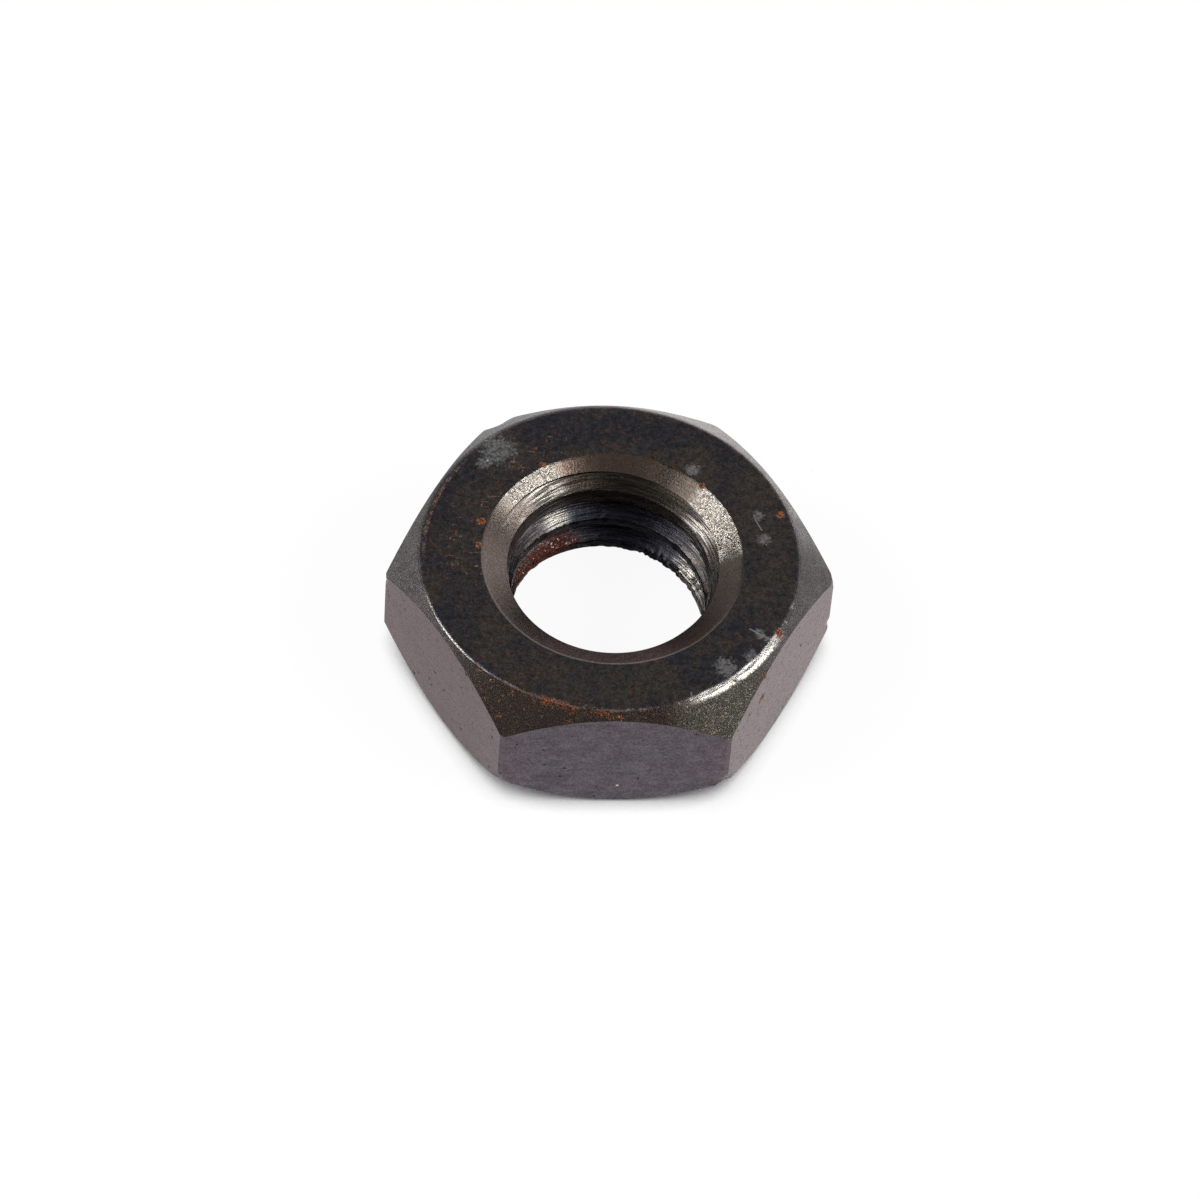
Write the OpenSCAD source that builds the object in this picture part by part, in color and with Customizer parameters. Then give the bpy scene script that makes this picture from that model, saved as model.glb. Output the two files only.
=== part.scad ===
// Thin hexagon nut, chamfered on both ends, with a countersunk thread.
// The bore axis is +Z, the lower end face lies on z = 0, and two of the flats face along Y.

/* [Hexagon] */
// Width across the flats
across_flats = 13; // [12:0.1:17]
// Height from one end face to the other
thickness = 4.8; // [4:0.1:8]
// How far the round blank stops short of each sharp corner
corner_relief = 0.05; // [0.02:0.01:0.2]

/* [End faces] */
// How far each flat end face stops short of the flats
face_inset = 0.2; // [0.1:0.02:0.5]
// Slope of the turned chamfer, measured from the end face
chamfer_angle = 45; // [20:1:50]
// Radius of the edge between an end face and its chamfer
edge_radius = 0.25; // [0.1:0.05:0.4]

/* [Thread] */
// Major diameter of the thread
thread_d = 8; // [7:0.1:9]
// Distance from one turn to the next
thread_pitch = 1.25; // [0.75:0.05:1.5]
// How much wider than the thread each countersink opens at the face
mouth_clearance = 0.7; // [0:0.05:0.8]
// Full angle of the countersinks
countersink_angle = 110; // [90:5:130]

/* [Hidden] */

HEX_SIDES = 6;
ROUND_SIDES = 120;
EDGE_STEPS = 4;
STEEL = [0.17, 0.165, 0.165];

// A 60 degree thread in a nut is cut 5/8 of the full V deep, and the V is
// sqrt(3)/2 of the pitch high, so this is what the bore loses on both sides.
THREAD_DEPTH_RATIO = 2 * 5 / 8 * sqrt(3) / 2;

corner_r = across_flats / 2 / cos(180 / HEX_SIDES);
blank_r = corner_r - corner_relief;
face_r = across_flats / 2 - face_inset;
chamfer_drop = (blank_r - face_r) * tan(chamfer_angle);
bore_r = (thread_d - THREAD_DEPTH_RATIO * thread_pitch) / 2;
mouth_r = (thread_d + mouth_clearance) / 2;
countersink_depth = (mouth_r - bore_r) / tan(countersink_angle / 2);

// Points of the rounded edge where the upper end face turns into its chamfer
function upper_edge() =
    let (centre = [face_r - edge_radius * tan(chamfer_angle / 2), thickness - edge_radius])
    [for (i = [0 : EDGE_STEPS])
        let (a = 90 - chamfer_angle * i / EDGE_STEPS)
        centre + edge_radius * [cos(a), sin(a)]];

// The same points on the lower end face, in the order that closes the outline
function lower_edge() =
    [for (i = [EDGE_STEPS : -1 : 0])
        let (p = upper_edge()[i])
        [p[0], thickness - p[1]]];

// Half section of everything that is turned: the bore, the countersinks,
// the end faces, the chamfers and the blank that just clips the corners
module turned_section() {
    polygon(concat(
        [[bore_r, thickness - countersink_depth], [mouth_r, thickness]],
        upper_edge(),
        [[blank_r, thickness - chamfer_drop], [blank_r, chamfer_drop]],
        lower_edge(),
        [[mouth_r, 0], [bore_r, countersink_depth]]
    ));
}

// The hexagon bar, with corners on the X axis
module hexagon_bar() {
    linear_extrude(thickness)
        circle(r = corner_r, $fn = HEX_SIDES);
}

// The nut: the bar and the turned form in common, so that each chamfer
// cuts a curved edge into every flat
module wheel_nut() {
    color(STEEL)
        intersection() {
            hexagon_bar();
            rotate_extrude($fn = ROUND_SIDES)
                turned_section();
        }
}

wheel_nut();
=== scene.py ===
import math

import bmesh
import bpy
from mathutils import Matrix, Vector, noise


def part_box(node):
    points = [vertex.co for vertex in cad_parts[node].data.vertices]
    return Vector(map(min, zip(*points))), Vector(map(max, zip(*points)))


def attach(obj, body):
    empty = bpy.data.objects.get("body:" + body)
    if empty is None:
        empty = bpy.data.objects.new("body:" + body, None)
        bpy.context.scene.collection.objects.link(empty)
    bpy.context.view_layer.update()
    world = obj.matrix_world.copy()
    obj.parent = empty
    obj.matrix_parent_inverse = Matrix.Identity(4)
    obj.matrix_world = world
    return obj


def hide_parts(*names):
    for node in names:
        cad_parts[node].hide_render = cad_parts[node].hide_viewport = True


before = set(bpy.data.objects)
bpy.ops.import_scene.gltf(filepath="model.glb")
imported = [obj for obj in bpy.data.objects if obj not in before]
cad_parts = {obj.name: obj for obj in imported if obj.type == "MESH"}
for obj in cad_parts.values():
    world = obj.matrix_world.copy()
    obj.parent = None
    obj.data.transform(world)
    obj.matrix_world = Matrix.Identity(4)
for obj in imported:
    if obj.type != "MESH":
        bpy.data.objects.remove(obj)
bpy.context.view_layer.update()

# The camera looks down at the front flat from a little left of it, from far
# enough away that the nut shows almost no perspective, and it is held a few
# degrees out of level.
MM = 0.001
CAMERA_ELEVATION = math.radians(53.4)
CAMERA_SIDESTEP = math.radians(5.46)
CAMERA_ROLL = math.radians(4.68)
CAMERA_DISTANCE = 224.3 * MM
CAMERA_LENS = 203.4
FRAME_CENTRE_RIGHT = -0.4 * MM
FRAME_CENTRE_UP = -1.4 * MM

nut_low, nut_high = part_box("wheel_nut")


def place_camera(target):
    tilt, side = CAMERA_ELEVATION, CAMERA_SIDESTEP
    back = Vector((-math.cos(tilt) * math.sin(side), -math.cos(tilt) * math.cos(side), math.sin(tilt)))
    level = Vector((math.cos(side), -math.sin(side), 0))
    upright = back.cross(level)
    right = level * math.cos(CAMERA_ROLL) + upright * math.sin(CAMERA_ROLL)
    up = upright * math.cos(CAMERA_ROLL) - level * math.sin(CAMERA_ROLL)
    lens = bpy.data.cameras.new("camera")
    lens.lens = CAMERA_LENS
    lens.sensor_width = 36
    lens.clip_start = 1 * MM
    camera = bpy.data.objects.new("camera", lens)
    bpy.context.scene.collection.objects.link(camera)
    turn = Matrix((right, up, back)).transposed().to_4x4()
    place = target + back * CAMERA_DISTANCE + right * FRAME_CENTRE_RIGHT + up * FRAME_CENTRE_UP
    camera.matrix_world = Matrix.Translation(place) @ turn
    bpy.context.scene.camera = camera


place_camera(Vector((0, 0, nut_high.z)))

# The blank is a slice of hexagon bar in black steel, here in millimetres. Its
# punched bore is narrowest half way down, and both ends are turned, a little
# off centre, with a flat face, a chamfer across the flats and a countersink.
ACROSS_FLATS = (nut_high.y - nut_low.y) / MM
THICKNESS = (nut_high.z - nut_low.z) / MM
FACE_INSET = 0.2
CORNER_RELIEF = 0.05
FACE_R = ACROSS_FLATS / 2 - FACE_INSET
BLANK_R = ACROSS_FLATS / 2 / math.cos(math.radians(30)) - CORNER_RELIEF
CHAMFER_DROP = BLANK_R - FACE_R
THREAD_R = 4
THREAD_PITCH = 1.25
BORE_R = THREAD_R - 0.54127 * THREAD_PITCH
MOUTH_R = THREAD_R + 0.35
COUNTERSINK_SLOPE = math.tan(math.radians(55))
NECK_R = BORE_R - 0.1
UPPER_LIP_R = BORE_R + 0.14
LOWER_LIP_R = BORE_R - 0.06
UPPER_RUNOUT = Vector((-0.08, 0.04, 0))
LOWER_RUNOUT = Vector((0.1, -0.03, 0))
FACE_EDGE = 0.12
MOUTH_EDGE = 0.03
FLAT_EDGE = 0.04
FLAT_GRID = 0.2
COLUMNS = 300
SURFACE_STEP = 0.12
TINY = 1e-4
CUT_SNAP = 1e-5

FINISH_NAMES = ("end_face", "chamfer", "flat", "countersink", "thread")
FINISHES = [bpy.data.materials.new(name) for name in FINISH_NAMES]
END_FACE, CHAMFER, FLAT, COUNTERSINK, THREAD = range(len(FINISHES))


def along_sides(corners, step):
    points = []
    for i, corner in enumerate(corners):
        start = Vector((corner[0], 0, corner[1]))
        following = corners[(i + 1) % len(corners)]
        end = Vector((following[0], 0, following[1]))
        parts = math.ceil((end - start).length / step)
        points += [start.lerp(end, part / parts) for part in range(parts)]
    return points


def turned_blank():
    section = [
        (LOWER_LIP_R, (MOUTH_R - LOWER_LIP_R) / COUNTERSINK_SLOPE),
        (MOUTH_R, 0),
        (FACE_R, 0),
        (BLANK_R, CHAMFER_DROP),
        (BLANK_R, THICKNESS - CHAMFER_DROP),
        (FACE_R, THICKNESS),
        (MOUTH_R, THICKNESS),
        (UPPER_LIP_R, THICKNESS - (MOUTH_R - UPPER_LIP_R) / COUNTERSINK_SLOPE),
        (BORE_R + 0.07, THICKNESS * 0.8),
        (BORE_R - 0.02, THICKNESS * 0.7),
        (NECK_R, THICKNESS * 0.55),
        (NECK_R, THICKNESS * 0.3),
    ]
    bm = bmesh.new()
    outline = [bm.verts.new(point) for point in along_sides(section, SURFACE_STEP)]
    for i, vert in enumerate(outline):
        bm.edges.new((vert, outline[i - 1]))
    bmesh.ops.spin(
        bm, geom=bm.verts[:] + bm.edges[:], cent=(0, 0, 0), axis=(0, 0, 1),
        angle=math.tau, steps=COLUMNS, use_merge=True,
    )
    bmesh.ops.recalc_face_normals(bm, faces=bm.faces[:])
    for face in bm.faces:
        centre = face.calc_center_median()
        if abs(face.normal.z) > 0.99:
            face.material_index = END_FACE
        elif math.hypot(centre.x, centre.y) > FACE_R:
            face.material_index = CHAMFER
        elif abs(face.normal.z) > 0.5:
            face.material_index = COUNTERSINK
        else:
            face.material_index = THREAD
    return bm


def turn_off_centre(bm):
    def cone_drop(point, runout):
        return (point - runout).xy.length - FACE_R

    for vert in bm.verts:
        flat = Vector((vert.co.x, vert.co.y, 0))
        depth = min(vert.co.z, THICKNESS - vert.co.z)
        runout = UPPER_RUNOUT if vert.co.z > THICKNESS / 2 else LOWER_RUNOUT
        if flat.length < MOUTH_R + TINY:
            continue
        if depth < TINY:
            vert.co += runout * (flat.length - MOUTH_R) / (FACE_R - MOUTH_R)
        elif depth < CHAMFER_DROP + TINY:
            share = (BLANK_R - flat.length) / CHAMFER_DROP
            shifted = flat + runout * share
            drop = cone_drop(shifted, runout)
            upper = vert.co.z > THICKNESS / 2
            vert.co = (shifted.x, shifted.y, THICKNESS - drop if upper else drop)
        else:
            low = cone_drop(flat, LOWER_RUNOUT)
            high = THICKNESS - cone_drop(flat, UPPER_RUNOUT)
            vert.co.z = low + (high - low) * (vert.co.z - CHAMFER_DROP) / (THICKNESS - 2 * CHAMFER_DROP)


def edges_between(bm, one, other):
    return [e for e in bm.edges if {f.material_index for f in e.link_faces} == {one, other}]


def round_edges(bm, edges, width, segments):
    bmesh.ops.bevel(
        bm, geom=edges, offset=width, offset_type="OFFSET", segments=segments,
        profile=0.5, affect="EDGES", material=-1, clamp_overlap=True,
    )


def cut_flats(bm):
    for side in range(6):
        angle = math.radians(30 + 60 * side)
        normal = Vector((math.cos(angle), math.sin(angle), 0))
        cut = bmesh.ops.bisect_plane(
            bm, geom=bm.verts[:] + bm.edges[:] + bm.faces[:], dist=CUT_SNAP,
            plane_co=normal * ACROSS_FLATS / 2, plane_no=normal, clear_outer=True,
        )
        rim = [e for e in cut["geom_cut"] if isinstance(e, bmesh.types.BMEdge)]
        for face in bmesh.ops.edgeloop_fill(bm, edges=rim)["faces"]:
            face.material_index = FLAT
    bmesh.ops.recalc_face_normals(bm, faces=bm.faces[:])


def divide_flats(bm):
    for face in [f for f in bm.faces if f.material_index == FLAT and len(f.verts) > 8]:
        along = Vector((-face.normal.y, face.normal.x, 0))
        up = Vector((0, 0, 1))
        geom = [face, *face.edges, *face.verts]
        for direction, start, end in ((along, -BLANK_R / 2, BLANK_R / 2), (up, 0, THICKNESS)):
            for step in range(1, round((end - start) / FLAT_GRID)):
                place = direction * (start + step * FLAT_GRID)
                geom = bmesh.ops.bisect_plane(
                    bm, geom=geom, dist=CUT_SNAP, plane_co=place, plane_no=direction,
                )["geom"]


def mesh_object(bm, name, finishes):
    mesh = bpy.data.meshes.new(name)
    for finish in finishes:
        mesh.materials.append(finish)
    bm.to_mesh(mesh)
    bm.free()
    shown = bpy.data.objects.new(name, mesh)
    bpy.context.scene.collection.objects.link(shown)
    return shown


blank = turned_blank()
turn_off_centre(blank)
round_edges(blank, edges_between(blank, END_FACE, CHAMFER), FACE_EDGE, 4)
round_edges(blank, edges_between(blank, END_FACE, COUNTERSINK), MOUTH_EDGE, 2)
cut_flats(blank)
round_edges(blank, edges_between(blank, FLAT, CHAMFER), FLAT_EDGE, 2)
divide_flats(blank)
for band in blank.faces:
    if band.material_index == CHAMFER and abs(band.normal.z) < 0.3:
        band.material_index = FLAT
blank = mesh_object(blank, "blank", FINISHES)

# The thread is cut by a tap: a right-hand 60 degree ridge that leaves a crest
# with rubbed edges between its turns and runs out through both countersinks.
# At the back of the nut the first groove lies just below the upper face.
TAP_STEPS = 240
TAP_TURNS = 7
FIRST_GROOVE = 0.47
CREST = 0.42
CREST_RUB = 0.05
ROOT_R = THREAD_R - 0.1
FLANK_STEPS = 5
SLIVER = 0.002


def tap():
    def half_groove(radius):
        return (THREAD_PITCH - CREST) / 2 - (radius - BORE_R) * math.tan(math.radians(30))

    rubbed = half_groove(NECK_R) + CREST_RUB
    half_section = [(NECK_R - 0.3, rubbed), (NECK_R, rubbed), (NECK_R + 0.012, rubbed - 0.03)]
    for step in range(FLANK_STEPS + 1):
        radius = NECK_R + CREST_RUB + (ROOT_R - NECK_R - CREST_RUB) * step / FLANK_STEPS
        half_section.append((radius, half_groove(radius)))
    half_section.append((ROOT_R + 0.03, half_groove(ROOT_R) / 2))
    section = half_section + [(r, -z) for r, z in reversed(half_section)]
    start_z = THICKNESS - FIRST_GROOVE - 5 * THREAD_PITCH
    bm = bmesh.new()
    verts = [bm.verts.new((0, r, start_z + z)) for r, z in section]
    edges = [bm.edges.new((a, b)) for a, b in zip(verts, verts[1:] + verts[:1])]
    bmesh.ops.spin(
        bm, geom=verts + edges, cent=(0, 0, 0), axis=(0, 0, 1), dvec=(0, 0, THREAD_PITCH / TAP_STEPS),
        angle=math.tau, steps=TAP_STEPS,
    )
    turn = bm.verts[:] + bm.edges[:] + bm.faces[:]
    for lift in range(1, TAP_TURNS):
        copied = bmesh.ops.duplicate(bm, geom=turn)["geom"]
        raised = [v for v in copied if isinstance(v, bmesh.types.BMVert)]
        bmesh.ops.translate(bm, verts=raised, vec=(0, 0, THREAD_PITCH * lift))
    bmesh.ops.remove_doubles(bm, verts=bm.verts[:], dist=TINY)
    bmesh.ops.holes_fill(bm, edges=[e for e in bm.edges if e.is_boundary], sides=0)
    bmesh.ops.recalc_face_normals(bm, faces=bm.faces[:])
    for face in bm.faces:
        face.material_index = THREAD
    return mesh_object(bm, "tap", FINISHES)


def cut_with(shape, tool):
    cutter = shape.modifiers.new("cut", "BOOLEAN")
    cutter.operation = "DIFFERENCE"
    cutter.solver = "EXACT"
    cutter.object = tool
    graph = bpy.context.evaluated_depsgraph_get()
    mesh = bpy.data.meshes.new_from_object(shape.evaluated_get(graph))
    bpy.data.objects.remove(tool)
    bpy.data.objects.remove(shape)
    return mesh


def merge_slivers(mesh):
    bm = bmesh.new()
    bm.from_mesh(mesh)
    bmesh.ops.remove_doubles(bm, verts=bm.verts[:], dist=SLIVER)
    bmesh.ops.dissolve_degenerate(bm, dist=SLIVER, edges=bm.edges[:])
    bm.to_mesh(mesh)
    bm.free()


nut_mesh = cut_with(blank, tap())
merge_slivers(nut_mesh)

# Use has left its marks in the steel: edges knocked round, a few dents and
# chips, and ragged thread crests where rust has eaten in. Every mark goes into
# the metal, so the nut stays inside its drawn size.
EDGE_REACH = 0.3
EDGE_RUB = 0.012
FRONT_RIGHT_RUB = 0.035
FRONT_LEFT_RUB = 0.03
CORE_R = (MOUTH_R + FACE_R) / 2
CREST_RAGS = 0.03
LOWER_RAGS = 0.09
LOWER_RAGS_TOP = 1.3
CREST_WEAR_TOP = 3.9
CREST_WEAR_FADE = 0.4
DENTS = (
    ((0.05, -6.4, 4.75), 0.3, 0.09),
    ((-0.13, -6.55, 4.55), 0.22, 0.04),
    ((5.4, -3.3, 4.75), 0.3, 0.05),
    ((4.1, -5.4, 4.3), 0.35, 0.03),
    ((3.73, -6.46, 1.1), 0.4, 0.1),
    ((-3.73, -6.46, 1.15), 0.35, 0.07),
    ((7.45, 0, 3.6), 0.3, 0.06),
    ((7.4, 0, 1.3), 0.4, 0.09),
    ((-7.4, 0, 3.5), 0.3, 0.05),
    ((-3.73, 6.46, 3.7), 0.8, 0.16),
)


def facing(point, angle, reach):
    turned = abs((math.degrees(math.atan2(point.y, point.x)) - angle + 180) % 360 - 180)
    return max(0, 1 - turned / reach)


def edge_wear(point):
    upper = point.z > THICKNESS / 2
    centre = UPPER_RUNOUT if upper else LOWER_RUNOUT
    beside = (point - centre).xy.length - FACE_R
    below = THICKNESS - point.z if upper else point.z
    near = max(0, 1 - math.hypot(beside, below) / EDGE_REACH)
    rub = EDGE_RUB
    if upper:
        rub += FRONT_RIGHT_RUB * min(1, 2 * facing(point, 313, 22))
        rub += FRONT_LEFT_RUB * min(1, 2 * facing(point, 255, 40))
    return near * near * rub * (1 + 0.8 * noise.noise(point * 3.5))


def crest_wear(point):
    if point.xy.length > BORE_R + 0.15:
        return 0
    ragged = max(0, noise.noise(point * 2.8) + noise.noise(point * 8) + 0.3)
    rags = CREST_RAGS
    if point.z < LOWER_RAGS_TOP:
        right = min(1, 2 * facing(point, 47, 30))
        left = min(1, 2 * facing(point, 115, 50))
        rags += LOWER_RAGS * (right + 0.4 * left)
    fading = min(1, max(0, (CREST_WEAR_TOP - point.z) / CREST_WEAR_FADE))
    return rags * ragged * fading


def dents(point):
    total = 0
    for centre, reach, depth in DENTS:
        near = max(0, 1 - (point - Vector(centre)).length / reach)
        total += depth * near * near * (3 - 2 * near)
    return total


def wear(mesh):
    normals = [Vector(v.normal) for v in mesh.vertices]
    for vert, normal in zip(mesh.vertices, normals):
        point = vert.co.copy()
        core = Vector((point.x, point.y, 0)).normalized() * CORE_R + Vector((0, 0, THICKNESS / 2))
        inwards = normal if normal.dot(core - point) > 0 else -normal
        vert.co += inwards * (edge_wear(point) + dents(point))
        if point.xy.length < MOUTH_R and 0.5 < point.z < THICKNESS - 0.5:
            vert.co += Vector((point.x, point.y, 0)).normalized() * crest_wear(point)


wear(nut_mesh)
nut_mesh.transform(Matrix.Scale(MM, 4))
nut_mesh.set_sharp_from_angle(angle=math.radians(28))
nut = bpy.data.objects.new("threaded_nut", nut_mesh)
bpy.context.scene.collection.objects.link(nut)

# The finish is black oxide, thinned to brown in patches and rubbed through to
# bare steel at the edges. Rust specks the end face and grows along its front
# edge and on the lower turns of the thread. Places are in millimetres.
STEEL = (0.62, 0.575, 0.51, 1)
RUST_DARK = (0.08, 0.018, 0.009, 1)
RUST_BRIGHT = (0.42, 0.14, 0.04, 1)
RUST_METALLIC = 0.05
RUST_ROUGHNESS = 0.8
PIT_DARK = (0.02, 0.017, 0.016, 1)
RUST_SHEEN = 0.15
SPARKLE_GRAIN = 17.0
SPARKLE_DEPTH = 0.008
SHADE_RANGE = 0.7


def node(tree, kind, inputs, **settings):
    made = tree.nodes.new("ShaderNode" + kind)
    for name, value in settings.items():
        setattr(made, name, value)
    for key, value in inputs.items():
        if isinstance(value, bpy.types.NodeSocket):
            tree.links.new(value, made.inputs[key])
        else:
            made.inputs[key].default_value = value
    return made


def calc(tree, operation, *values):
    return node(tree, "Math", dict(enumerate(values)), operation=operation).outputs[0]


def product(tree, *values):
    result = values[0]
    for value in values[1:]:
        result = calc(tree, "MULTIPLY", result, value)
    return result


def most(tree, *values):
    result = values[0]
    for value in values[1:]:
        result = calc(tree, "MAXIMUM", result, value)
    return result


def between(tree, value, low, high):
    inputs = {"Value": value, "From Min": low, "From Max": high}
    return node(tree, "MapRange", inputs, interpolation_type="SMOOTHSTEP").outputs[0]


def spread(tree, value, low, high):
    return node(tree, "MapRange", {"Value": value, "To Min": low, "To Max": high}).outputs[0]


def grain(tree, place, scale, detail=3.0, roughness=0.6):
    inputs = {"Vector": place, "Scale": scale, "Detail": detail, "Roughness": roughness}
    return node(tree, "TexNoise", inputs).outputs[0]


def blend(tree, share, one, other):
    return node(tree, "Mix", {0: share, 6: one, 7: other}, data_type="RGBA").outputs[2]


def scaled(tree, vector, factor):
    return node(tree, "VectorMath", {0: vector, "Scale": factor}, operation="SCALE").outputs[0]


def millimetres(tree):
    return scaled(tree, node(tree, "TexCoord", {}).outputs["Object"], 1 / MM)


def stretched(tree, place, stretch):
    return node(tree, "VectorMath", {0: place, 1: stretch}, operation="MULTIPLY").outputs[0]


def distance(tree, place, centre):
    return node(tree, "VectorMath", {0: place, 1: centre}, operation="DISTANCE").outputs["Value"]


def height_of(tree, place):
    return node(tree, "SeparateXYZ", {0: place}).outputs[2]


def reach_and_height(tree, place, centre=(0, 0, 0)):
    away = node(tree, "VectorMath", {0: place, 1: centre}, operation="SUBTRACT").outputs[0]
    level = stretched(tree, away, (1, 1, 0))
    reach = node(tree, "VectorMath", {0: level}, operation="LENGTH").outputs["Value"]
    return reach, height_of(tree, away)


def ring(tree, place, centre, radius, width):
    reach, height = reach_and_height(tree, place, centre)
    beside = calc(tree, "SUBTRACT", reach, radius)
    across = node(tree, "CombineXYZ", {0: beside, 1: height}).outputs[0]
    gap = node(tree, "VectorMath", {0: across}, operation="LENGTH").outputs["Value"]
    return between(tree, gap, width, width * 0.4)


def towards(tree, place, angle, reach):
    unit = node(tree, "VectorMath", {0: stretched(tree, place, (1, 1, 0))}, operation="NORMALIZE").outputs[0]
    aimed = (math.cos(math.radians(angle)), math.sin(math.radians(angle)), 0)
    along = node(tree, "VectorMath", {0: unit, 1: aimed}, operation="DOT_PRODUCT").outputs["Value"]
    outer, inner = (math.cos(math.radians(reach * share)) for share in (1.5, 0.5))
    return between(tree, along, outer, inner)


def spots(tree, place, places):
    ragged = calc(tree, "ADD", grain(tree, place, 3.6, 6, 0.8), grain(tree, place, 11.0, 4, 0.8))
    result = 0.0
    for centre, radius in places:
        inside = calc(tree, "MULTIPLY_ADD", distance(tree, place, centre), -0.6 / radius, 0.9)
        torn = calc(tree, "MULTIPLY_ADD", ragged, 1.5, calc(tree, "SUBTRACT", inside, 1.5))
        result = most(tree, result, between(tree, torn, 0.2, 0.55))
    return result


def scratches(tree, place, lines):
    result = 0.0
    for start, end, width in lines:
        along = Vector(end) - Vector(start)
        away = node(tree, "VectorMath", {0: place, 1: start}, operation="SUBTRACT").outputs[0]
        far = node(tree, "VectorMath", {0: away, 1: along / along.length_squared}, operation="DOT_PRODUCT")
        share = node(tree, "Clamp", {0: far.outputs["Value"]}).outputs[0]
        foot = scaled(tree, tuple(along), share)
        result = most(tree, result, between(tree, distance(tree, away, foot), width, width * 0.3))
    return result


def pits(tree, place, spacing, radius):
    cells = node(tree, "TexVoronoi", {"Vector": place, "Scale": 1 / spacing})
    chosen = node(tree, "SeparateColor", {0: cells.outputs["Color"]}).outputs[0]
    dots = between(tree, cells.outputs["Distance"], radius / spacing, 0.5 * radius / spacing)
    return product(tree, dots, between(tree, chosen, 0.6, 0.7))


def turning_marks(tree, place):
    reach, height = reach_and_height(tree, place)
    drift = node(tree, "SeparateXYZ", {0: place})
    lines = node(tree, "CombineXYZ", {
        0: calc(tree, "MULTIPLY", reach, 18.0),
        1: calc(tree, "MULTIPLY", height, 18.0),
        2: calc(tree, "MULTIPLY", drift.outputs[0], 0.25),
    }).outputs[0]
    return grain(tree, lines, 1.0, 2, 0.6)


def weathered(
    surface, base_colour, bare_steel, rust, gloss, oxide_grain, steel_grain, turned=0.0,
    steel=STEEL, rust_bright=RUST_BRIGHT,
):
    FINISHES[surface].use_nodes = True
    tree = FINISHES[surface].node_tree
    shader = tree.nodes["Principled BSDF"]
    place = millimetres(tree)
    cloud = grain(tree, place, 2.2, 8, 0.68)
    fine = between(tree, grain(tree, place, SPARKLE_GRAIN, 3, 0.7), 0.3, 0.7)

    colour, pitted = base_colour(tree, place, cloud)
    shade = spread(tree, fine, 1 - SHADE_RANGE / 2, 1 + SHADE_RANGE / 2)
    colour = blend(tree, pitted, scaled(tree, colour, shade), PIT_DARK)
    bare = bare_steel(tree, place, cloud, fine)
    colour = blend(tree, bare, colour, steel)
    rusty = rust(tree, place, cloud, fine)
    rust_colour = blend(tree, between(tree, fine, 0.5, 0.9), RUST_DARK, rust_bright)
    colour = blend(tree, rusty, colour, rust_colour)
    tree.links.new(colour, shader.inputs["Base Color"])
    matt = most(tree, rusty, pitted)
    tree.links.new(spread(tree, matt, 1.0, RUST_METALLIC), shader.inputs["Metallic"])
    shader.inputs["Specular IOR Level"].default_value = RUST_SHEEN

    rough = spread(tree, cloud, gloss - 0.06, gloss + 0.12)
    rough = calc(tree, "MULTIPLY_ADD", bare, -0.09, rough)
    rough = spread(tree, matt, rough, RUST_ROUGHNESS)
    tree.links.new(rough, shader.inputs["Roughness"])

    height = calc(tree, "MULTIPLY", fine, spread(tree, bare, oxide_grain, steel_grain))
    if turned:
        height = calc(tree, "MULTIPLY_ADD", turning_marks(tree, place), turned, height)
    height = calc(tree, "MULTIPLY_ADD", pitted, -1.0, height)
    height = calc(tree, "MULTIPLY_ADD", product(tree, rusty, fine), 1.5, height)
    bump = node(tree, "Bump", {"Height": height, "Strength": 1.0, "Distance": SPARKLE_DEPTH * MM})
    tree.links.new(bump.outputs[0], shader.inputs["Normal"])
    return shader


# The end faces are blue-black with brown clouds, fine rust specks, and grey
# scuffs where something hard has slid over them.
END_FACE_BLACK = (0.06, 0.059, 0.07, 1)
END_FACE_BROWN = (0.092, 0.08, 0.073, 1)
END_FACE_SPECK = (0.25, 0.11, 0.055, 1)
SCUFF_STEEL = (0.58, 0.575, 0.565, 1)
SCUFFS = (
    ((-3.7, 4.45, THICKNESS), 0.62),
    ((-4.1, 4.0, THICKNESS), 0.3),
    ((2.82, 3.65, THICKNESS), 0.26),
    ((4.92, 1.74, THICKNESS), 0.2),
    ((5.07, 0.78, THICKNESS), 0.22),
    ((3.6, -4.47, THICKNESS), 0.36),
    ((4.4, -3.98, THICKNESS), 0.22),
    ((4.75, -3.1, THICKNESS), 0.2),
    ((5.1, -3.35, THICKNESS), 0.16),
)
RUST_SPOTS = (
    ((5.43, -3.08, THICKNESS), 0.16),
    ((5.69, 1.79, THICKNESS), 0.14),
    ((-4.3, 1.45, THICKNESS), 0.14),
    ((-4.42, 0.51, THICKNESS), 0.1),
    ((-2.2, 3.85, THICKNESS), 0.12),
    ((2.0, 2.85, THICKNESS - 0.6), 0.1),
    ((2.9, 2.06, THICKNESS - 0.6), 0.14),
    ((3.1, 3.0, THICKNESS), 0.1),
    ((0.05, -6.42, THICKNESS - 0.1), 0.12),
    ((4.93, -4.5, 4.3), 0.12),
    ((4.86, -4.55, 3.2), 0.16),
)


def end_face_colour(tree, place, cloud):
    brown = between(tree, grain(tree, place, 0.7, 8, 0.66), 0.4, 0.6)
    colour = blend(tree, brown, END_FACE_BLACK, END_FACE_BROWN)
    mottled = spread(tree, between(tree, grain(tree, place, 5.0, 5, 0.75), 0.36, 0.64), 0.7, 1.32)
    colour = scaled(tree, colour, mottled)
    specks = between(tree, grain(tree, place, 7.0, 4, 0.7), 0.56, 0.64)
    specks = product(tree, specks, between(tree, cloud, 0.4, 0.56))
    colour = blend(tree, product(tree, specks, 0.7), colour, END_FACE_SPECK)
    return colour, pits(tree, place, 0.4, 0.04)


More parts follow.
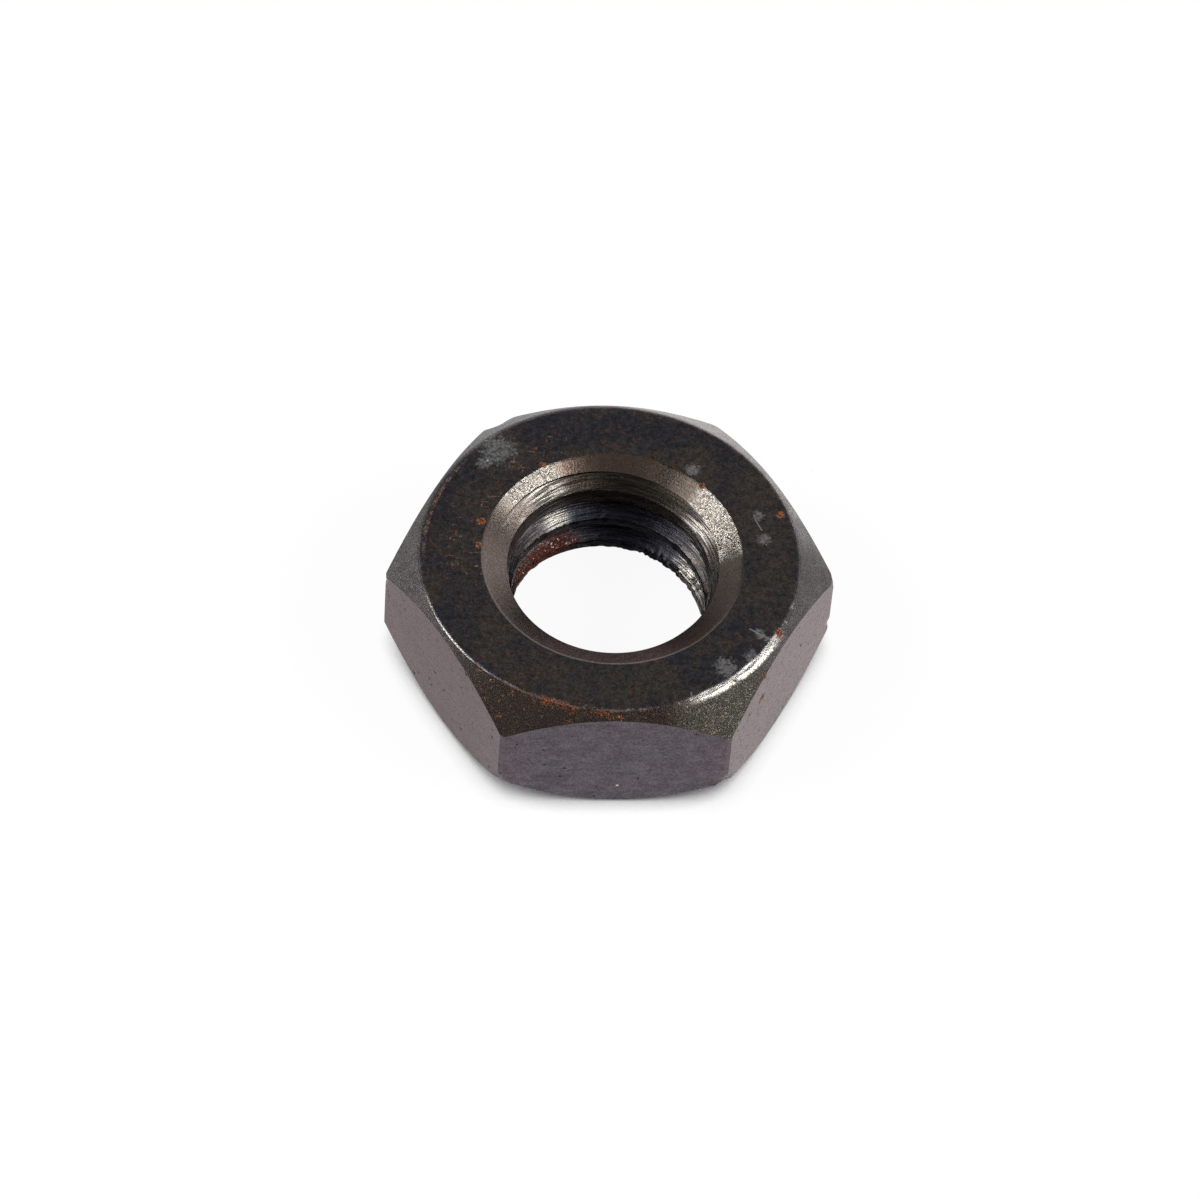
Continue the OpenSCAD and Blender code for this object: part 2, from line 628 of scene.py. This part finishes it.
def rubbed_edges(tree, place, cloud, fine):
    upper = (*UPPER_RUNOUT.xy, THICKNESS)
    left = product(tree, ring(tree, place, upper, FACE_R, 0.06), towards(tree, place, 214, 16))
    wide = product(tree, ring(tree, place, upper, FACE_R + 0.08, 0.24), towards(tree, place, 312, 15))
    wide = product(tree, wide, spread(tree, fine, 0.4, 1.2))
    thin = product(tree, ring(tree, place, upper, FACE_R, 0.1), towards(tree, place, 305, 30))
    thin = product(tree, thin, between(tree, cloud, 0.5, 0.62))
    lower = ring(tree, place, (*LOWER_RUNOUT.xy, 0), FACE_R, 0.1)
    lower = product(tree, lower, between(tree, cloud, 0.5, 0.62))
    torn = between(tree, cloud, 0.34, 0.48)
    return most(tree, product(tree, left, torn), product(tree, wide, torn), thin, lower)


def end_face_bare(tree, place, cloud, fine):
    grit = between(tree, grain(tree, place, 9.0, 5, 0.8), 0.38, 0.62)
    scuffs = product(tree, spots(tree, place, SCUFFS), spread(tree, grit, 0.1, 0.78))
    rim = ring(tree, place, (0, 0, THICKNESS), MOUTH_R, 0.05)
    rim = product(tree, rim, towards(tree, place, 275, 60), 0.3)
    lines = scratches(tree, place, (
        ((4.81, 1.61, THICKNESS), (5.02, 1.15, THICKNESS), 0.03),
        ((4.45, -2.92, THICKNESS), (5.15, -3.37, THICKNESS), 0.04),
        ((2.42, -5.49, THICKNESS), (2.43, -5.76, THICKNESS), 0.03),
    ))
    return most(tree, scuffs, rim, product(tree, lines, 0.8), rubbed_edges(tree, place, cloud, fine))


def edge_rust(tree, place, cloud):
    upper = (*UPPER_RUNOUT.xy, THICKNESS)
    broken = between(tree, grain(tree, place, 4.5, 6, 0.8), 0.47, 0.53)
    thin = product(tree, ring(tree, place, upper, FACE_R, 0.1), towards(tree, place, 256, 20))
    wide = product(tree, ring(tree, place, upper, FACE_R, 0.24), towards(tree, place, 257, 10))
    wide = product(tree, wide, between(tree, cloud, 0.46, 0.56))
    front = product(tree, most(tree, thin, wide), broken)
    left = product(tree, ring(tree, place, upper, FACE_R - 0.15, 0.08), towards(tree, place, 160, 16))
    left = product(tree, left, broken, 0.5)
    return most(tree, front, left, spots(tree, place, RUST_SPOTS))


def end_face_rust(tree, place, cloud, fine):
    level = grain(tree, stretched(tree, place, (2.4, 9.0, 1.0)), 1.0, 4, 0.7)
    upright = grain(tree, stretched(tree, place, (9.0, 2.4, 1.0)), 1.0, 4, 0.7)
    strokes = between(tree, most(tree, level, upright), 0.63, 0.69)
    left = most(tree, towards(tree, place, 170, 20), towards(tree, place, 118, 12))
    left = product(tree, left, ring(tree, place, (0, 0, THICKNESS), 4.8, 1.0))
    return most(tree, product(tree, strokes, left), edge_rust(tree, place, cloud))


weathered(
    END_FACE, end_face_colour, end_face_bare, end_face_rust,
    gloss=0.26, oxide_grain=0.4, steel_grain=0.5, steel=SCUFF_STEEL,
)

# The chamfers were turned before blackening. At the front they are painted a dark olive brown as shade,
# to the right of it they glitter, and at the back right they are painted pale as a reflection.
CHAMFER_GREY = (0.075, 0.066, 0.066, 1)
CHAMFER_OLIVE_PAINTED_SHADE = (0.024, 0.018, 0.015, 1)
CHAMFER_GLITTER = (0.045, 0.041, 0.034, 1)
CHAMFER_PAINTED_REFLECTION = (0.3, 0.27, 0.265, 1)
CHAMFER_SPECK = (0.15, 0.078, 0.036, 1)


def chamfer_colour(tree, place, cloud):
    # The back right is painted pale: a painted reflection.
    colour = blend(tree, towards(tree, place, 50, 34), CHAMFER_GREY, CHAMFER_PAINTED_REFLECTION)
    # The front is painted a darker olive brown: painted shade.
    front_painted_shade = product(tree, towards(tree, place, 258, 40), spread(tree, cloud, 0.7, 1.2))
    shadowed = spread(tree, between(tree, cloud, 0.36, 0.64), 0.78, 1.2)
    colour = blend(tree, front_painted_shade, scaled(tree, colour, shadowed), CHAMFER_OLIVE_PAINTED_SHADE)
    colour = blend(tree, towards(tree, place, 304, 14), colour, CHAMFER_GLITTER)
    specks = between(tree, grain(tree, place, 6.0, 5, 0.75), 0.565, 0.65)
    specks = product(tree, specks, towards(tree, place, 258, 44), between(tree, cloud, 0.42, 0.56))
    colour = blend(tree, specks, colour, CHAMFER_SPECK)
    return colour, pits(tree, place, 0.5, 0.04)


def chamfer_bare(tree, place, cloud, fine):
    glitter = product(tree, towards(tree, place, 302, 12), between(tree, fine, 0.4, 1.0), 0.09)
    return most(tree, glitter, rubbed_edges(tree, place, cloud, fine))


def chamfer_rust(tree, place, cloud, fine):
    hairs = scratches(tree, place, (
        ((-3.9, -5.75, 4.25), (-3.77, -6.0, 4.01), 0.04),
        ((2.61, -6.57, 4.03), (2.88, -6.75, 3.76), 0.035),
    ))
    return most(tree, hairs, edge_rust(tree, place, cloud))


weathered(
    CHAMFER, chamfer_colour, chamfer_bare, chamfer_rust,
    gloss=0.22, oxide_grain=1.5, steel_grain=0.6,
)

# The flats are as the bar was drawn: smooth and even, with a violet cast and a
# few pits. The front-left flat is painted darker, as painted shade.
FLAT_BROWN = (0.12, 0.09, 0.091, 1)
FLAT_PAINTED_SHADE = (0.086, 0.063, 0.064, 1)
FLAT_VIOLET = (0.09, 0.078, 0.094, 1)
FLAT_SHEEN = (0.905, 0.85, 0.856, 1)


def flat_colour(tree, place, cloud):
    # The front-left flat is painted darker: painted shade.
    colour = blend(tree, towards(tree, place, 210, 30), FLAT_BROWN, FLAT_PAINTED_SHADE)
    front_and_back = most(tree, towards(tree, place, 270, 30), towards(tree, place, 90, 60))
    colour = blend(tree, front_and_back, colour, FLAT_VIOLET)
    drawn = grain(tree, stretched(tree, place, (0.5, 0.5, 3.0)), 1.6, 5, 0.7)
    mottled = spread(tree, between(tree, calc(tree, "ADD", cloud, drawn), 0.78, 1.22), 0.8, 1.2)
    large = pits(tree, stretched(tree, place, (1, 1, 1.3)), 0.8, 0.09)
    return scaled(tree, colour, mottled), most(tree, pits(tree, place, 0.45, 0.06), large)


def flat_bare(tree, place, cloud, fine):
    return spots(tree, place, (((0.16, -6.5, 0.94), 0.06),))


def flat_rust(tree, place, cloud, fine):
    specks = between(tree, grain(tree, place, 6.0, 5, 0.75), 0.53, 0.68)
    return most(tree, product(tree, specks, 0.36), edge_rust(tree, place, cloud))


flat_shader = weathered(
    FLAT, flat_colour, flat_bare, flat_rust, gloss=0.2, oxide_grain=0.28, steel_grain=0.4,
)
flat_shader.inputs["Specular Tint"].default_value = FLAT_SHEEN

# The countersinks were cut after blackening, and only a thin brown tarnish
# covers them. On both sides of the back the bare steel glitters through it.
# Round the cone the colour is also painted lighter or darker by the way each part faces: painted light and
# shade.
COUNTERSINK_BROWN = (0.1, 0.088, 0.073, 1)
COUNTERSINK_DARK = (0.08, 0.066, 0.053, 1)
COUNTERSINK_FLECKED = (0.04, 0.033, 0.027, 1)
# Each tone is painted light or painted shade for the way that part of the cone faces.
COUNTERSINK_PAINTED_LIGHT_AND_SHADE = (
    (86, 30, (0.14, 0.1, 0.08, 1)),
    (195, 35, (0.17, 0.133, 0.12, 1)),
    (275, 40, (0.22, 0.163, 0.158, 1)),
    (325, 26, (0.06, 0.045, 0.04, 1)),
    (52, 12, (0.045, 0.036, 0.03, 1)),
)


def glittering(tree, place):
    return most(tree, towards(tree, place, 130, 13), towards(tree, place, 23, 16))


def countersink_colour(tree, place, cloud):
    colour = blend(tree, between(tree, cloud, 0.4, 0.6), COUNTERSINK_BROWN, COUNTERSINK_DARK)
    for angle, reach, tone in COUNTERSINK_PAINTED_LIGHT_AND_SHADE:
        colour = blend(tree, towards(tree, place, angle, reach), colour, tone)
    colour = blend(tree, product(tree, glittering(tree, place), 0.7), colour, COUNTERSINK_FLECKED)
    return colour, pits(tree, place, 0.5, 0.05)


def countersink_bare(tree, place, cloud, fine):
    flakes = between(tree, grain(tree, place, 15.0, 3, 0.7), 0.42, 0.53)
    patches = spread(tree, between(tree, cloud, 0.42, 0.56), 0.3, 1.0)
    return product(tree, glittering(tree, place), flakes, patches)


def countersink_rust(tree, place, cloud, fine):
    tarnish = product(tree, towards(tree, place, 272, 42), 0.12)
    return most(tree, tarnish, edge_rust(tree, place, cloud))


weathered(
    COUNTERSINK, countersink_colour, countersink_bare, countersink_rust,
    gloss=0.15, oxide_grain=0.25, steel_grain=1.5, turned=0.35,
)

# The thread is dark, with fine lines along its turns, bright where a bolt has rubbed it,
# and red with rust low down on the back left. At the back it is painted darker still as
# shade, but brown on the first turn below the countersink.
THREAD_DARK = (0.034, 0.031, 0.032, 1)
THREAD_BROWN = (0.038, 0.031, 0.027, 1)
THREAD_BACK_PAINTED_SHADE = (0.019, 0.019, 0.024, 1)
THREAD_FIRST_TURN = (0.033, 0.027, 0.022, 1)
THREAD_STAIN = (0.05, 0.02, 0.014, 1)
THREAD_RUNOUT = (0.18, 0.146, 0.13, 1)
THREAD_RUST = (0.32, 0.06, 0.028, 1)
BOLT_RUBS = (
    ((-1.82, 3.2, 2.6), 0.5),
    ((3.1, 1.89, 3.4), 0.7),
    ((3.1, 1.96, 1.5), 0.75),
    ((-2.3, 3.1, 3.9), 0.8),
)


def rusted_turns(tree, place):
    low = between(tree, height_of(tree, place), 1.9, 1.3)
    return product(tree, towards(tree, place, 138, 25), low)


def rust_grain(tree, place):
    return grain(tree, place, 11.0, 2, 0.5)


def thread_colour(tree, place, cloud):
    height = height_of(tree, place)
    back = towards(tree, place, 84, 42)
    colour = blend(tree, between(tree, cloud, 0.4, 0.6), THREAD_DARK, THREAD_BROWN)
    # The back of the thread is painted darker: painted shade.
    colour = blend(tree, back, colour, THREAD_BACK_PAINTED_SHADE)
    first = product(tree, back, between(tree, height, 2.9, 3.3))
    colour = blend(tree, first, colour, THREAD_FIRST_TURN)
    lines = spread(tree, between(tree, turning_marks(tree, place), 0.38, 0.62), 0.6, 1.5)
    colour = blend(tree, rusted_turns(tree, place), scaled(tree, colour, lines), THREAD_STAIN)
    runout = product(tree, towards(tree, place, 165, 25), between(tree, height, 3.2, 3.8))
    return blend(tree, runout, colour, THREAD_RUNOUT), pits(tree, place, 0.5, 0.04)


def thread_bare(tree, place, cloud, fine):
    lines = between(tree, turning_marks(tree, place), 0.45, 0.58)
    rubbed = 0.0
    for centre, radius in BOLT_RUBS:
        gap = distance(tree, place, centre)
        rubbed = most(tree, rubbed, between(tree, gap, 1.5 * radius, 0.2 * radius))
    rubbed = product(tree, rubbed, spread(tree, lines, 0.04, 1.0), spread(tree, fine, 0.6, 1.2))
    flecks = between(tree, rust_grain(tree, place), 0.65, 0.69)
    return most(tree, rubbed, product(tree, rusted_turns(tree, place), flecks, 0.7))


def thread_rust(tree, place, cloud, fine):
    eaten = between(tree, grain(tree, place, 4.5, 6, 0.8), 0.45, 0.52)
    covered = between(tree, rust_grain(tree, place), 0.66, 0.62)
    return product(tree, rusted_turns(tree, place), eaten, covered, 0.95)


weathered(
    THREAD, thread_colour, thread_bare, thread_rust,
    gloss=0.2, oxide_grain=0.4, steel_grain=1.0, turned=1.3, rust_bright=THREAD_RUST,
)

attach(nut, "root")
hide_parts("wheel_nut")

# The floor is plain and white. Close under the nut it keeps the dark of the
# nut's own shadow, and the bore reflects no more light than falls through it.
FLOOR_SIZE = 1.5
FLOOR_WHITE = (0.95, 0.95, 0.95, 1)
FLOOR_SHADED = (0.06, 0.045, 0.06, 1)
GLOW_SHARE = 0.93
CONTACT_GAP = 1.2 * MM
CONTACT_CLEAR = (0.36, 0.6)
BORE_SHADE = (5.5, 7.0)


def floor():
    bm = bmesh.new()
    bmesh.ops.create_grid(bm, x_segments=1, y_segments=1, size=FLOOR_SIZE)
    material = bpy.data.materials.new("floor_white")
    material.use_nodes = True
    tree = material.node_tree
    lit = tree.nodes["Principled BSDF"]
    lit.inputs["Roughness"].default_value = 1
    glow = node(tree, "Emission", {"Strength": 1.0})
    path = node(tree, "LightPath", {})
    clear = node(tree, "AmbientOcclusion", {"Distance": CONTACT_GAP}, samples=4).outputs["AO"]
    reach = reach_and_height(tree, millimetres(tree))[0]
    clear = most(tree, between(tree, clear, *CONTACT_CLEAR), between(tree, reach, FACE_R, MOUTH_R))
    outside = between(tree, reach, *BORE_SHADE)
    colour = blend(tree, clear, FLOOR_SHADED, FLOOR_WHITE)
    tree.links.new(colour, lit.inputs["Base Color"])
    seen = product(tree, path.outputs["Is Camera Ray"], clear)
    mirrored = product(tree, path.outputs["Is Glossy Ray"], outside)
    share = product(tree, most(tree, seen, mirrored), GLOW_SHARE)
    mix = node(tree, "MixShader", {0: share, 1: lit.outputs[0], 2: glow.outputs[0]})
    tree.links.new(mix.outputs[0], tree.nodes["Material Output"].inputs["Surface"])
    mesh_object(bm, "floor", [material])


floor()

# The light is that of a tent: a soft box on each side, white walls up to a
# low height, and a dim roof.
BOX_WIDTH = 0.3
BOX_HEIGHT = 0.17
BOX_DISTANCE = 0.4
BOX_POWER = 1.2
BOX_ELEVATION = math.radians(40)
WALL_WHITE = 1.0
ROOF_DIM = 0.3
WALL_TOP = 0.22
ROOF_START = 0.56


def soft_box(name, azimuth):
    light = bpy.data.lights.new(name, "AREA")
    light.shape = "RECTANGLE"
    light.size = BOX_WIDTH
    light.size_y = BOX_HEIGHT
    light.energy = BOX_POWER
    lamp = bpy.data.objects.new(name, light)
    bpy.context.scene.collection.objects.link(lamp)
    side = math.radians(azimuth)
    level = math.cos(BOX_ELEVATION)
    away = Vector((math.cos(side) * level, math.sin(side) * level, math.sin(BOX_ELEVATION)))
    turn = away.to_track_quat("Z", "Y").to_matrix().to_4x4()
    lamp.matrix_world = Matrix.Translation(away * BOX_DISTANCE) @ turn


def tent():
    world = bpy.data.worlds.new("tent")
    world.use_nodes = True
    tree = world.node_tree
    up = node(tree, "SeparateXYZ", {0: node(tree, "TexCoord", {}).outputs["Generated"]}).outputs[2]
    dimming = between(tree, up, WALL_TOP, ROOF_START)
    lit = tree.nodes["Background"]
    lit.inputs["Color"].default_value = (1, 1, 1, 1)
    tree.links.new(spread(tree, dimming, WALL_WHITE, ROOF_DIM), lit.inputs["Strength"])
    white = node(tree, "Background", {"Color": (1, 1, 1, 1), "Strength": 1.0})
    seen = node(tree, "LightPath", {}).outputs["Is Camera Ray"]
    mix = node(tree, "MixShader", {0: seen, 1: lit.outputs[0], 2: white.outputs[0]})
    tree.links.new(mix.outputs[0], tree.nodes["World Output"].inputs["Surface"])
    bpy.context.scene.world = world


soft_box("box_right", -18)
soft_box("box_left", 186)
tent()
bpy.context.scene.view_settings.view_transform = "Standard"
